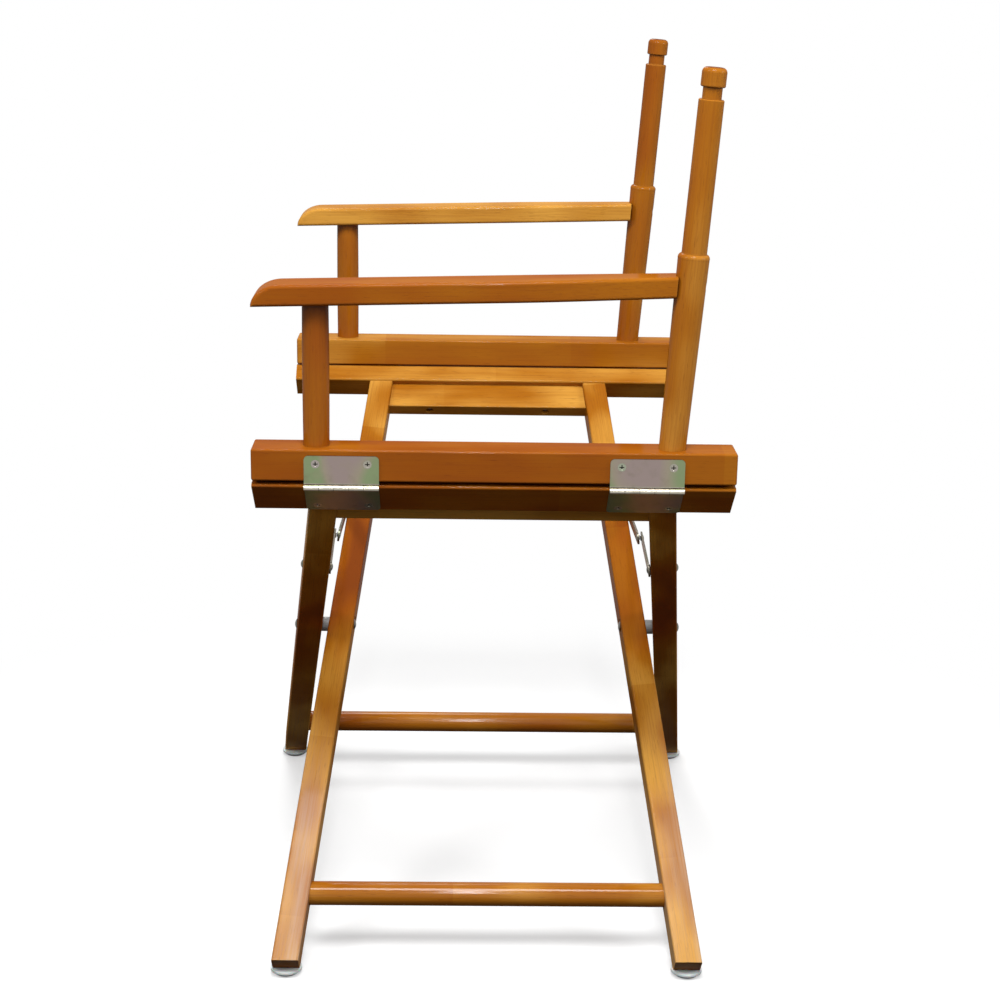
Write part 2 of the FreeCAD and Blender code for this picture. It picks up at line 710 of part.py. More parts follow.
# ---- bolts, spacers, braces ---------------------------------------------------
def dome_head(diameter, height):
    """Low domed head standing on Z = 0."""
    ball = (diameter ** 2 / 4 + height ** 2) / (2 * height)
    sphere = Part.makeSphere(ball, V(0, 0, height - ball))
    return sphere.common(Part.makeCylinder(diameter / 2, 2 * height))


def pivot_stack(side):
    """Bolt, spacer and barrel nut on the pivot axis, in chair coordinates."""
    half = leg_span_y / 2
    centre = V(0, 0, pivot_z)
    out = Y_AXIS * side
    head_y = outer_leg_y + half
    gap_y = inner_leg_y + half
    inner_face_y = inner_leg_y - half
    tip_y = inner_face_y + pivot_barrel_end
    shank = rod(centre + out * tip_y, out, head_y - tip_y, pivot_bolt_diameter)
    head = aimed(dome_head(pivot_head_diameter, pivot_head_height), centre + out * head_y,
                 X_AXIS, out)
    bolt = union([shank, head])
    bore = rod(centre, out, beyond, pivot_bolt_diameter + 2 * running_clearance)
    spacer = rod(centre + out * (gap_y + pivot_spacer_clearance), out,
                 leg_gap - 2 * pivot_spacer_clearance, pivot_spacer_diameter).cut(bore)
    seat = centre + out * (inner_face_y - pivot_spacer_clearance)
    barrel_length = leg_span_y - pivot_barrel_end
    barrel = rod(seat, out, barrel_length, pivot_barrel_diameter)
    cap = aimed(dome_head(pivot_head_diameter, pivot_cap_height), seat, X_AXIS, -out)
    threaded = rod(centre + out * tip_y, out, beyond, pivot_bolt_diameter)
    nut = union([barrel, cap]).cut(threaded)
    return bolt, spacer, nut


def brace_bolt(pivot_y, side, link_outside):
    """Bolt and washer of one brace link, in leg-frame coordinates."""
    link_seat, head_seat, towards_link = brace_bolt_line(pivot_y, side, link_outside)
    through = link_seat.distanceToPoint(head_seat)
    washer_height = inner_link_washer if link_outside else outer_link_washer
    end = through + washer_height + link_thickness + 2 * running_clearance
    side_direction = Z_AXIS.cross(towards_link).normalize()
    head = aimed(dome_head(brace_head_diameter, brace_head_height), head_seat,
                 side_direction, -towards_link)
    shank = rod(head_seat, towards_link, end, brace_bolt_diameter)
    end_head = aimed(dome_head(brace_end_head_diameter, brace_end_head_height),
                     head_seat + towards_link * end, side_direction, towards_link)
    bolt = union([head, shank, end_head])
    washer = rod(link_seat, towards_link, washer_height, link_washer_diameter)
    washer = washer.cut(rod(link_seat, towards_link, past, brace_bolt_diameter))
    return bolt, washer


def brace_link(pivot_y, side, link_outside):
    """One half of a brace and its half of the centre rivet, in chair coordinates."""
    lift = (inner_link_washer if link_outside else outer_link_washer) + running_clearance
    axis = turned_vector(brace_axis(side))
    towards_link = axis if link_outside else -axis
    seat = turned_point(brace_seat(pivot_y, side, link_outside))
    reach_direction = V(-abs(axis.y), side * axis.x, 0).normalize()
    length = abs(seat.x / reach_direction.x)
    half = link_width / 2
    body = box(0, length, -half, half, 0, link_thickness)
    ends = [rod(V(x, 0, 0), Z_AXIS, link_thickness, link_width) for x in (0, length)]
    plate = union([body] + ends)
    bolt_hole = brace_bolt_diameter + 2 * running_clearance
    rivet_hole = rivet_diameter + 2 * socket_clearance
    plate = plate.cut([rod(V(0, 0, -past), Z_AXIS, 2 * past, bolt_hole),
                       rod(V(length, 0, -past), Z_AXIS, 2 * past, rivet_hole)])
    origin = seat + towards_link * lift
    plate = aimed(plate, origin, reach_direction, towards_link)
    # the rivet half: head on the side of this link's own leg, shank up to the other half
    across = brace_stack_gap()
    shank = rod(V(length, 0, 0), Z_AXIS, link_thickness + across / 2 - rivet_clearance,
                rivet_diameter)
    head = turned(dome_head(rivet_head_diameter, rivet_head_height), X_AXIS, 180)
    rivet = union([shank, moved(head, V(length, 0, 0))])
    rivet = aimed(rivet, origin, reach_direction, towards_link)
    return plate, rivet


def brace_stack_gap():
    """Free space between the two links of a brace at the centre rivet."""
    lifts = inner_link_washer + outer_link_washer + 2 * running_clearance
    return leg_gap * cos_splay - lifts - 2 * link_thickness


def turned_vector(vector):
    rotation = FreeCAD.Rotation(Y_AXIS, leg_angle)
    return rotation.multVec(vector)


def turned_point(point):
    return turned_vector(point) + V(0, 0, pivot_z)


def glide(pivot_y, side):
    """Nail-on glide under a foot, in chair coordinates, left side."""
    foot = glide_foot_diameter / 2
    rim = glide_diameter / 2
    points = [(0, 0), (foot, 0), (rim, glide_rim_height), (rim, glide_height), (0, glide_height)]
    disc = revolve(points, [(glide_rim_height, rim, glide_rim_radius)])
    nail = rod(V(0, 0, glide_height / 2), Z_AXIS, glide_height / 2 + glide_nail_length,
               glide_nail_diameter)
    y = side * leg_centre_y(pivot_y, -foot_length)
    return moved(union([disc, nail]), V(glide_x, y, 0))


def foot_cut(pivot_y, side):
    """Level cut across the corner of a foot and the hole for the glide's nail."""
    y = side * leg_centre_y(pivot_y, -foot_length)
    level = box(0, beyond, -beyond, beyond, -beyond, glide_height)
    nail = rod(V(glide_x, y, 0), Z_AXIS, glide_height + glide_nail_length + blind_hole_room,
               glide_nail_diameter + 2 * socket_clearance)
    return [level, nail]


# ---- assembly -----------------------------------------------------------------
nodes = {}


def leg_frame(name, rail_side, pivot_y, flip):
    """One leg frame. Built with its rail on the left; flip mirrors it to the right."""
    def put(node, shapes):
        done = [standing(shape) for shape in shapes]
        if flip:
            done = [mirrored(shape) for shape in done]
        nodes[node] = done

    for which, side in sides.items():
        shape = standing(leg(pivot_y, side, flip))
        # the foot is on the other side of the chair from the rail
        shape = mirrored(mirrored(shape).cut(foot_cut(pivot_y, side)))
        nodes[f"{name}_leg_{which}"] = [mirrored(shape) if flip else shape]
        foot = glide(pivot_y, side)
        nodes[f"{name}_glide_{which}"] = [foot if flip else mirrored(foot)]
        put(f"{rail_side}_hinge_lower_leaf_{which}", [lower_leaf(side)])
    put(f"{rail_side}_lower_rail", [lower_rail(pivot_y)])
    put(f"{rail_side}_cleat", [cleat(pivot_y)])
    put(f"{rail_side}_cleat_screws", [wood_screw(Z_AXIS, cleat_screw_head(side), cleat_screw_length)
                                      for side in sides.values()])
    put(f"{name}_stretcher", [stretcher(pivot_y)])
    put(f"{rail_side}_hinge_pins", [hinge_pin(side) for side in sides.values()])
    screws = []
    for side in sides.values():
        for y, height in hinge_screw_places(side, lower_screw_height):
            place = V(lower_rail_thickness / 2 + leaf_thickness, y, pin_along - height)
            screws.append(wood_screw(-X_AXIS, place, hinge_screw_length))
    put(f"{rail_side}_lower_hinge_screws", screws)
    bolts = [brace_bolt(pivot_y, side, flip) for side in sides.values()]
    put(f"{name}_brace_bolts", [bolt for bolt, _ in bolts])
    put(f"{name}_brace_washers", [washer for _, washer in bolts])
    for which, side in sides.items():
        plate, rivet = brace_link(pivot_y, side, flip)
        nodes[f"{which}_brace_{rail_side}_link"] = [mirrored(plate) if flip else plate]
        nodes[f"{which}_brace_{rail_side}_rivet"] = [mirrored(rivet) if flip else rivet]


def arm_assembly(rail_side, flip):
    pieces = {
        "armrest": [armrest()],
        "front_post": [front_post()],
        "rear_post": [rear_post()],
        "upper_rail": [upper_rail()],
        "hinge_upper_leaf_front": [upper_leaf(sides["front"])],
        "hinge_upper_leaf_rear": [upper_leaf(sides["rear"])],
    }
    screws = []
    for side in sides.values():
        for y, height in hinge_screw_places(side, upper_screw_height):
            place = V(rail_outer_x + leaf_thickness, y, pin_z + height)
            screws.append(wood_screw(-X_AXIS, place, hinge_screw_length))
    pieces["upper_hinge_screws"] = screws
    posts = [post_screw_place(which) for which in sides]
    pieces["post_screws"] = [wood_screw(direction, head, post_screw_length)
                             for head, direction in posts]
    head, direction = arm_screw_place()
    pieces["arm_screw"] = [wood_screw(direction, head, arm_screw_length)]
    for piece, shapes in pieces.items():
        nodes[f"{rail_side}_{piece}"] = [mirrored(s) if flip else s for s in shapes]


leg_frame("outer", "left", outer_leg_y, flip=False)
leg_frame("inner", "right", inner_leg_y, flip=True)
arm_assembly("left", flip=False)
arm_assembly("right", flip=True)
stacks = [pivot_stack(side) for side in sides.values()]
for node, shapes in zip(("pivot_bolts", "pivot_spacers", "pivot_barrel_nuts"), zip(*stacks)):
    nodes[node] = list(shapes)

os.makedirs("parts", exist_ok=True)
for node, shapes in nodes.items():
    solids = [solid for shape in shapes for solid in shape.Solids]
    for solid in solids:
        if not solid.isValid():
            print("invalid solid in", node)
    whole = solids[0] if len(solids) == 1 else Part.makeCompound(solids)
    whole.exportStep(f"parts/{node}.step")
print(len(nodes), "nodes", sum(len(s) for s in nodes.values()), "solids")
print(f"pivot z {pivot_z:.3f}  pin x {pin_x:.3f} z {pin_z:.3f}  rail top {upper_rail_top_z:.2f}")
print(f"glide x {glide_x:.2f}  outer leg y {outer_leg_y:.2f}  link gap {brace_stack_gap():.2f}")
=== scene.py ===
import math
import bpy
from mathutils import Matrix, Vector


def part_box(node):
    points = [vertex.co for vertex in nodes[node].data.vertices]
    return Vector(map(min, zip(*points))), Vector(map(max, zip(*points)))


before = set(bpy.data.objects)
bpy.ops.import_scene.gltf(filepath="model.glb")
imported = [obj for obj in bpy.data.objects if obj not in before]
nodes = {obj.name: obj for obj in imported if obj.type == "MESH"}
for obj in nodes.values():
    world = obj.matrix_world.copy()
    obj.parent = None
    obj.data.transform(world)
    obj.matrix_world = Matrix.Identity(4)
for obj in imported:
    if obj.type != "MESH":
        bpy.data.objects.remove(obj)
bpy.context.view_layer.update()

# grain directions, in the row frame
ALONG_Y = Vector((0, 1, 0))
UPRIGHT = Vector((0, 0, 1))
REAR_POST_LEAN = math.radians(4.0)
LEG_ANGLE = math.radians(48)
LEG_SPLAY = math.radians(6.05)

# wood: stained hardwood under satin lacquer, linear colours
WOOD_PALE = (0.600, 0.290, 0.046)
WOOD_MID = (0.370, 0.125, 0.007)
WOOD_DEEP = (0.200, 0.045, 0.006)
WOOD_RED = (0.285, 0.071, 0.004)
# painted sheen on the legs, in place of the lamps' reflection in the lacquer
WOOD_SHEEN = (0.600, 0.480, 0.360)
WOOD_END = (0.095, 0.022, 0.004)
# the pores, and also the painted shade in the seams
WOOD_PORE_AND_SEAM_SHADE = (0.110, 0.026, 0.005)
STAIN_STOPS = ((0.24, WOOD_PALE), (0.50, WOOD_MID), (0.76, WOOD_RED), (0.98, WOOD_DEEP))
LACQUER_ROUGHNESS = 0.09
LACQUER_IOR = 1.45

# zinc plate with a yellow passivation film
ZINC_YELLOW = (0.280, 0.235, 0.165)
ZINC_GREEN = (0.180, 0.250, 0.105)
ZINC_PINK = (0.270, 0.200, 0.185)
ZINC_BARE = (0.420, 0.410, 0.370)
# painted shade on the bolts and brace
ZINC_SHADE = (0.070, 0.062, 0.048)
ZINC_RUBBED = (0.480, 0.450, 0.370)
FILM_STOPS = ((0.34, ZINC_GREEN), (0.50, ZINC_YELLOW), (0.66, ZINC_PINK))
SOIL = (0.160, 0.140, 0.090)
# grime, and also the painted shade in recesses and between parts
GRIME_AND_SHADE = (0.012, 0.010, 0.008)

# lengths, in metres
RUBBED_RADIUS = 0.0036       # from the axis of a hinge, round its knuckles
RUBBED_BLEND = 0.0008        # over which the film comes back
RUBBED_EDGE_AND_HIGHLIGHT = 0.0022         # how far an edge is rubbed pale, as wear and as a painted highlight
SEAM_SHADE_REACH = 0.004           # how far dust and painted shade reach out of a seam in the wood
CREVICE_SHADE_REACH = 0.0025       # and grime and painted shade out of a recess in the metal
PORE_DEPTH = 0.0004
PLANING_DEPTH = 0.0012       # of the long waves that planing leaves
SCRATCH_DEPTH = 0.0002
SHADE_DEEPEST_AT = 0.30         # height at which the legs are painted darkest, as painted shade under the rails
SHADE_FADE = 0.11            # over which that painted shade fades, up and down
SHEEN_BELOW = 0.22         # height below which a painted sheen lies on the legs
FULL_SHEEN_BELOW = 0.04         # and from here down the painted sheen is full
FLOOR_SIZE = 12.0
FLOOR_GAP = 0.0005           # the floor lies this far under the glides
BACKGROUND_START = 0.38      # the floor turns into plain white between these distances
BACKGROUND_END = 0.86

# shares
SHADOW_SOFTENING = 0.40      # how much of the shadow is lifted, right under the chair
FLOOR_BOUNCE = 0.06          # how pale the floor is to the light, not to the eye
SKY_LIGHT = 0.22             # strength of the even light; directly seen, the sky is white
FLOOR_PALE = (0.97, 0.97, 0.97)
FLOOR_SHADE = (0.90, 0.90, 0.90)
DUSTY = 0.72                 # how dark moulded plastic gets under dust


# ---- node trees ---------------------------------------------------------------
class Tree:
    """Short hand for building one material's nodes."""

    def __init__(self, name):
        self.material = bpy.data.materials.new(name)
        self.material.use_nodes = True
        self.tree = self.material.node_tree
        self.tree.nodes.clear()
        self.output = self.tree.nodes.new("ShaderNodeOutputMaterial")

    def add(self, kind, settings=None, **inputs):
        made = self.tree.nodes.new("ShaderNode" + kind)
        for key, value in (settings or {}).items():
            setattr(made, key, value)
        for key, value in inputs.items():
            self.feed(made.inputs[key.replace("_", " ")], value)
        return made

    def feed(self, socket, value):
        if isinstance(value, bpy.types.NodeSocket):
            self.tree.links.new(value, socket)
        elif isinstance(value, tuple) and len(value) == 3 and socket.type == "RGBA":
            socket.default_value = (*value, 1)
        else:
            socket.default_value = value

    def math(self, operation, a, b=0.0, c=0.0):
        made = self.tree.nodes.new("ShaderNodeMath")
        made.operation = operation
        for socket, value in zip(made.inputs, (a, b, c)):
            self.feed(socket, value)
        return made.outputs[0]

    def remap(self, value, low, high, to_low=0.0, to_high=1.0):
        made = self.add("MapRange", {"interpolation_type": "SMOOTHSTEP"})
        for key, number in (("Value", value), ("From Min", low), ("From Max", high),
                            ("To Min", to_low), ("To Max", to_high)):
            self.feed(made.inputs[key], number)
        return made.outputs["Result"]

    def mix(self, factor, a, b):
        made = self.tree.nodes.new("ShaderNodeMix")
        made.data_type = "RGBA"
        colours = [s for s in made.inputs if s.type == "RGBA"]
        self.feed(made.inputs[0], factor)
        self.feed(colours[0], a)
        self.feed(colours[1], b)
        return [s for s in made.outputs if s.type == "RGBA"][0]

    def ramp(self, value, stops):
        """Colours by value; stops is at least two pairs of position and colour, in order."""
        made = self.add("ValToRGB", Fac=value)
        elements = made.color_ramp.elements
        for element, (position, colour) in zip(elements, (stops[0], stops[-1])):
            element.position, element.color = position, (*colour, 1)
        for position, colour in stops[1:-1]:
            elements.new(position).color = (*colour, 1)
        return made.outputs["Color"]

    def noise(self, vector, scale, detail=3.0, roughness=0.5, distortion=0.0):
        made = self.add("TexNoise", Vector=vector, Scale=scale, Detail=detail,
                        Roughness=roughness, Distortion=distortion)
        return made.outputs["Fac"]

    def stretched(self, vector, stretch, shift=(0, 0, 0), turn=(0, 0, 0)):
        return self.add("Mapping", Vector=vector, Location=shift, Rotation=turn,
                        Scale=stretch).outputs["Vector"]

    def open_sky(self, distance):
        """1 on open faces, towards 0 in recesses and seams narrower than the distance."""
        made = self.add("AmbientOcclusion", {"samples": 8}, Distance=distance)
        return made.outputs["AO"]

    def surface(self, shader):
        self.tree.links.new(shader, self.output.inputs["Surface"])
        return self.material


def wood(name, grain, seed, board_length=0.0, tone=0.0, red=0.0, clouds=0.45, gloss=0.10,
         foot_sheen=0.0):
    """Stained wood with its grain along the given direction.

    board_length > 0 gives the slight step in tone from one finger-jointed stave to the next,
    tone darkens (+) or lightens (-) the whole piece, red warms it, clouds is how patchy the
    stain is, gloss is the weight of the lacquer. foot_sheen > 0 is for a leg: it is painted
    darkest about the pivot as painted shade under the rails, and towards its foot it gets a
    pale painted sheen in place of the lamps' reflection in the lacquer."""
    t = Tree(name)
    coordinates = t.add("TexCoord")
    turn = grain.rotation_difference(UPRIGHT).to_euler("XYZ")
    place = t.stretched(coordinates.outputs["Object"], (1, 1, 1), turn=tuple(turn))
    place = t.stretched(place, (1, 1, 1), shift=(0.37 * seed, 0.21 * seed, 0.53 * seed))

    # broad figure and growth rings, drawn out along the grain
    figure = t.noise(t.stretched(place, (1, 1, 0.07)), 26, detail=4, distortion=0.6)
    rings = t.noise(t.stretched(place, (1, 0.35, 0.025)), 120, detail=2, roughness=0.45)
    fibre = t.noise(t.stretched(place, (1, 1, 0.018)), 900, detail=3, roughness=0.6)
    pores = t.noise(t.stretched(place, (1, 1, 0.05)), 1500, detail=1)
    # sprayed stain lies in soft clouds, some golden, some red-brown
    cloud = t.noise(t.stretched(place, (1, 1, 0.55)), 19, detail=1.5, roughness=0.4)

    shade = t.math("MULTIPLY_ADD", figure, 0.30, tone)
    shade = t.math("MULTIPLY_ADD", rings, 0.20, shade)
    cloudy = t.remap(cloud, 0.28, 0.72, 0.5 - clouds / 2, 0.5 + clouds / 2)
    shade = t.math("MULTIPLY_ADD", cloudy, 0.62, shade)
    if board_length > 0:
        along = t.add("SeparateXYZ", Vector=place).outputs["Z"]
        stave = t.math("FLOOR", t.math("DIVIDE", along, board_length))
        step = t.add("TexWhiteNoise", {"noise_dimensions": "1D"}, W=stave).outputs["Value"]
        shade = t.math("MULTIPLY_ADD", step, 0.10, t.math("SUBTRACT", shade, 0.05))
    # painted shade: the legs are darkest about the pivot, under the rails, and a little paler
    # away from it
    if foot_sheen > 0:
        height_up = t.add("SeparateXYZ", Vector=coordinates.outputs["Object"]).outputs["Z"]
        off_shaded = t.math("ABSOLUTE", t.math("SUBTRACT", height_up, SHADE_DEEPEST_AT))
        shade = t.math("ADD", shade, t.remap(off_shaded, SHADE_FADE, 0.01, -0.15, 0.24))
    colour = t.mix(red, t.ramp(shade, STAIN_STOPS), WOOD_RED)
    streak = t.remap(fibre, 0.42, 0.70)
    colour = t.mix(t.math("MULTIPLY", streak, 0.26), colour, WOOD_DEEP)
    pore = t.remap(pores, 0.66, 0.72)
    colour = t.mix(t.math("MULTIPLY", pore, 0.40), colour, WOOD_PORE_AND_SEAM_SHADE)

    # painted sheen: paler towards the foot, in place of the lamps' reflection in the lacquer
    if foot_sheen > 0:
        painted_sheen = t.remap(height_up, SHEEN_BELOW, FULL_SHEEN_BELOW, 0.0, foot_sheen)
        painted_sheen = t.math("MULTIPLY", painted_sheen, t.remap(rings, 0.36, 0.60, 0.25, 1.0))
        painted_sheen = t.math("MULTIPLY", painted_sheen, t.remap(fibre, 0.35, 0.60, 0.55, 1.0))
        colour = t.mix(painted_sheen, colour, WOOD_SHEEN)

    # end grain drinks the stain
    across = t.add("VectorMath", {"operation": "DOT_PRODUCT"})
    t.feed(across.inputs[0], coordinates.outputs["Normal"])
    across.inputs[1].default_value = tuple(grain)
    facing = t.math("ABSOLUTE", across.outputs["Value"])
    end_grain = t.remap(facing, 0.80, 0.97)
    colour = t.mix(t.math("MULTIPLY", end_grain, 0.70), colour, WOOD_END)

    # edges are rubbed a little paler, wear that also serves as a painted highlight along them
    soft = t.add("Bevel", {"samples": 4}, Radius=RUBBED_EDGE_AND_HIGHLIGHT).outputs["Normal"]
    true = t.add("NewGeometry").outputs["Normal"]
    bend = t.add("VectorMath", {"operation": "DOT_PRODUCT"})
    t.feed(bend.inputs[0], soft)
    t.feed(bend.inputs[1], true)
    edge = t.remap(bend.outputs["Value"], 0.995, 0.88)
    rub_and_highlight = t.math("MULTIPLY", edge, t.remap(cloud, 0.35, 0.65, 0.10, 0.40))
    colour = t.mix(rub_and_highlight, colour, WOOD_PALE)

    # dust and old lacquer darken the seams between the pieces, and so does painted shade, by
    # how little open sky a seam sees
    seam_dust_and_shade = t.remap(t.open_sky(SEAM_SHADE_REACH), 0.70, 0.30, 0.0, 0.55)
    colour = t.mix(seam_dust_and_shade, colour, WOOD_PORE_AND_SEAM_SHADE)

    rough = t.math("MULTIPLY_ADD", fibre, 0.12, 0.34)
    height = t.math("MULTIPLY_ADD", pore, -0.8, fibre)
    bump = t.add("Bump", Height=height, Strength=0.10, Distance=PORE_DEPTH)
    wave = t.noise(t.stretched(place, (1, 1, 0.15)), 45, detail=1)
    bump = t.add("Bump", Height=wave, Strength=0.10, Distance=PLANING_DEPTH,
                 Normal=bump.outputs["Normal"])
    shader = t.add("BsdfPrincipled", Base_Color=colour, Roughness=rough,
                   Normal=bump.outputs["Normal"])
    shader.inputs["Coat Weight"].default_value = gloss
    shader.inputs["Coat Roughness"].default_value = LACQUER_ROUGHNESS
    shader.inputs["Specular IOR Level"].default_value = 0.0
    shader.inputs["IOR"].default_value = LACQUER_IOR
    return t.surface(shader.outputs["BSDF"])


def plated(name, seed, film, rough=0.30, brushed=ALONG_Y, painted_shade=0.0, leaf=None, pins=None):
    """Zinc plate; film is how much of the rainbow passivation shows, painted_shade how much
    painted shade darkens it. leaf is the node of a hinge leaf, whose film is green towards its
    ends and violet in its middle, and pins the node of the pins that its knuckles turn on,
    where it has rubbed off."""
    t = Tree(name)
    coordinates = t.add("TexCoord")
    place = t.stretched(coordinates.outputs["Object"], (1, 1, 1), shift=(seed, 0.7 * seed, 0.3))
    bands = t.noise(place, 22, detail=1, distortion=0.4)
    if leaf:
        low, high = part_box(leaf)
        middle, half_length = (low[1] + high[1]) / 2, (high[1] - low[1]) / 2
        along_y = t.add("SeparateXYZ", Vector=coordinates.outputs["Object"]).outputs["Y"]
        off_middle = t.math("ABSOLUTE", t.math("SUBTRACT", along_y, middle))
        towards_end = t.math("DIVIDE", off_middle, half_length)
        bands = t.math("MULTIPLY_ADD", towards_end, -0.34, t.math("ADD", bands, 0.20))
    spots = t.noise(place, 70, detail=2)
    turn = brushed.rotation_difference(UPRIGHT).to_euler("XYZ")
    along = t.stretched(coordinates.outputs["Object"], (1, 1, 1), turn=tuple(turn))
    scratch = t.noise(t.stretched(along, (1, 1, 0.03)), 1400, detail=2)
    colour = t.mix(film, ZINC_BARE, t.ramp(bands, FILM_STOPS))
    colour = t.mix(t.remap(spots, 0.50, 0.72, 0.0, 0.25), colour, ZINC_YELLOW)
    # painted shade: the plating is darkened as if it lay in shade
    colour = t.mix(t.math("MULTIPLY_ADD", spots, 0.3 * painted_shade, 0.85 * painted_shade), colour, ZINC_SHADE)
    if pins:
        low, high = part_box(pins)
        axis = ((low[0] + high[0]) / 2, 0, (low[2] + high[2]) / 2)
        flat = t.stretched(coordinates.outputs["Object"], (1, 0, 1))
        off_axis = t.add("VectorMath", {"operation": "DISTANCE"})
        t.feed(off_axis.inputs[0], flat)
        off_axis.inputs[1].default_value = axis
        knuckle = t.remap(off_axis.outputs["Value"], RUBBED_RADIUS + RUBBED_BLEND,
                          RUBBED_RADIUS)
        colour = t.mix(knuckle, colour, ZINC_RUBBED)
    soil = t.remap(t.noise(place, 90, detail=4), 0.52, 0.80, 0.0, 0.35)
    colour = t.mix(soil, colour, SOIL)
    # grime and painted shade in recesses and between parts, where little open sky is seen
    grime_and_shade = t.remap(t.open_sky(CREVICE_SHADE_REACH), 0.85, 0.50)
    colour = t.mix(grime_and_shade, colour, GRIME_AND_SHADE)
    roughness = t.math("MULTIPLY_ADD", scratch, 0.22, rough - 0.08)
    roughness = t.math("MAXIMUM", roughness, grime_and_shade)
    bump = t.add("Bump", Height=scratch, Strength=0.12, Distance=SCRATCH_DEPTH)
    shader = t.add("BsdfPrincipled", Base_Color=colour, Roughness=roughness,
                   Normal=bump.outputs["Normal"])
    shader.inputs["Metallic"].default_value = 1.0
    return t.surface(shader.outputs["BSDF"])


def moulded(name, colour, seed, rough=0.42, glow=0.0):
    """Injection-moulded plastic with a fine texture and a little dust."""
    t = Tree(name)
    place = t.add("TexCoord").outputs["Object"]
    place = t.stretched(place, (1, 1, 1), shift=(seed, seed, 0))
    dust = t.remap(t.noise(place, 60, detail=3), 0.40, 0.75, 0.0, 0.22)
    shaded = tuple(DUSTY * c for c in colour)
    tint = t.mix(dust, colour, shaded)
    grain = t.noise(place, 2200, detail=1)
    bump = t.add("Bump", Height=grain, Strength=0.08, Distance=SCRATCH_DEPTH)
    roughness = t.math("MULTIPLY_ADD", dust, 0.6, rough)
    shader = t.add("BsdfPrincipled", Base_Color=tint, Roughness=roughness,
                   Normal=bump.outputs["Normal"])
    shader.inputs["Subsurface Weight"].default_value = glow
    shader.inputs["Subsurface Scale"].default_value = 0.004
    return t.surface(shader.outputs["BSDF"])


dressed = set()


def dress(name, material):
    """Gives a CAD node its finished material."""
    dressed.add(name)
    piece = nodes[name]
    piece.data.materials.clear()
    piece.data.materials.append(material)


def leg_direction(frame_sign, side_sign):
    """Grain of a leg: up towards its rail, and in towards the middle of the chair."""
    return Vector((frame_sign * math.sin(LEG_ANGLE), -side_sign * math.tan(LEG_SPLAY),
                   math.cos(LEG_ANGLE))).normalized()


# ---- finishes -----------------------------------------------------------------
REAR_POST_GRAIN = Vector((0, math.sin(REAR_POST_LEAN), math.cos(REAR_POST_LEAN)))
side_signs = {"front": -1, "rear": 1}
frame_signs = {"outer": 1, "inner": -1}

# how much darker (+) or paler (-) each side of the chair is painted: painted shade on the left
# side, which faces the camera, and painted light on the right side
arm_side_shading = {"left": 0.12, "right": -0.26}
upper_rail_side_shading = {"left": 0.14, "right": -0.05}
lower_rail_side_shading = {"left": 0.16, "right": -0.20}
# how strong the painted sheen on the feet is; more on the inner frame, whose faces turn up to
# the lamps
foot_sheens = {"outer": 0.15, "inner": 0.54}

for seed, rail_side in enumerate(("left", "right"), start=1):
    arm_shading = arm_side_shading[rail_side]
    upper_shading = upper_rail_side_shading[rail_side]
    lower_shading = lower_rail_side_shading[rail_side]
    dress(f"{rail_side}_upper_rail",
          wood(f"hardwood_upper_rail_{rail_side}", ALONG_Y, seed + 0.2, 0.21, upper_shading,
               clouds=0.3))
    dress(f"{rail_side}_lower_rail",
          wood(f"hardwood_lower_rail_{rail_side}", ALONG_Y, seed + 0.7, 0.24, lower_shading))
    dress(f"{rail_side}_cleat",
          wood(f"hardwood_cleat_{rail_side}", ALONG_Y, seed + 1.3, 0.17, tone=-0.24))
    dress(f"{rail_side}_armrest",
          wood(f"hardwood_armrest_{rail_side}", ALONG_Y, seed + 1.9, tone=arm_shading, clouds=0.3))
    dress(f"{rail_side}_front_post",
          wood(f"hardwood_front_post_{rail_side}", UPRIGHT, seed + 2.3, tone=0.06, red=0.35,
               gloss=0.16))
    dress(f"{rail_side}_rear_post",
          wood(f"hardwood_rear_post_{rail_side}", REAR_POST_GRAIN, seed + 2.9, clouds=0.35,
               gloss=0.16))
    for which in side_signs:
        finish = plated(f"zinc_hinge_{rail_side}_{which}", seed + side_signs[which] * 0.4, 0.85,
                        leaf=f"{rail_side}_hinge_upper_leaf_{which}",
                        pins=f"{rail_side}_hinge_pins")
        dress(f"{rail_side}_hinge_upper_leaf_{which}", finish)
        dress(f"{rail_side}_hinge_lower_leaf_{which}", finish)

for seed, (name, frame_sign) in enumerate(frame_signs.items(), start=5):
    dress(f"{name}_stretcher",
          wood(f"hardwood_stretcher_{name}", ALONG_Y, seed + 0.1, 0.16, tone=0.02, gloss=0.40))
    for which, side_sign in side_signs.items():
        grain = leg_direction(frame_sign, side_sign)
        dress(f"{name}_leg_{which}",
              wood(f"hardwood_leg_{name}_{which}", grain, seed + 0.3 * side_sign, 0.19,
                   clouds=0.75, foot_sheen=foot_sheens[name]))

screw_finish = plated("zinc_screws", 3.1, 0.45, rough=0.26)
# the bolts and brace get painted shade, darker than their plating
bolt_finish = plated("zinc_bolts", 4.7, 0.3, rough=0.34, painted_shade=0.75)
brace_finish = plated("zinc_brace", 6.2, 0.6, rough=0.36, brushed=Vector((1, 0, 0)), painted_shade=0.65)
pin_finish = plated("bright_pins", 7.7, 0.05, rough=0.22)
glide_finish = moulded("glide_plastic", (0.72, 0.78, 0.78), 1.3, rough=0.38, glow=0.25)
spacer_finish = moulded("spacer_plastic", (0.30, 0.31, 0.31), 2.9)
finishes = (("screw", screw_finish), ("pins", pin_finish), ("glide", glide_finish),
            ("spacers", spacer_finish), ("pivot", bolt_finish), ("brace_bolts", bolt_finish),
            ("brace_washers", bolt_finish), ("brace", brace_finish))
for name in sorted(set(nodes) - dressed):
    for word, finish in finishes:
        if word in name:
            dress(name, finish)
            break

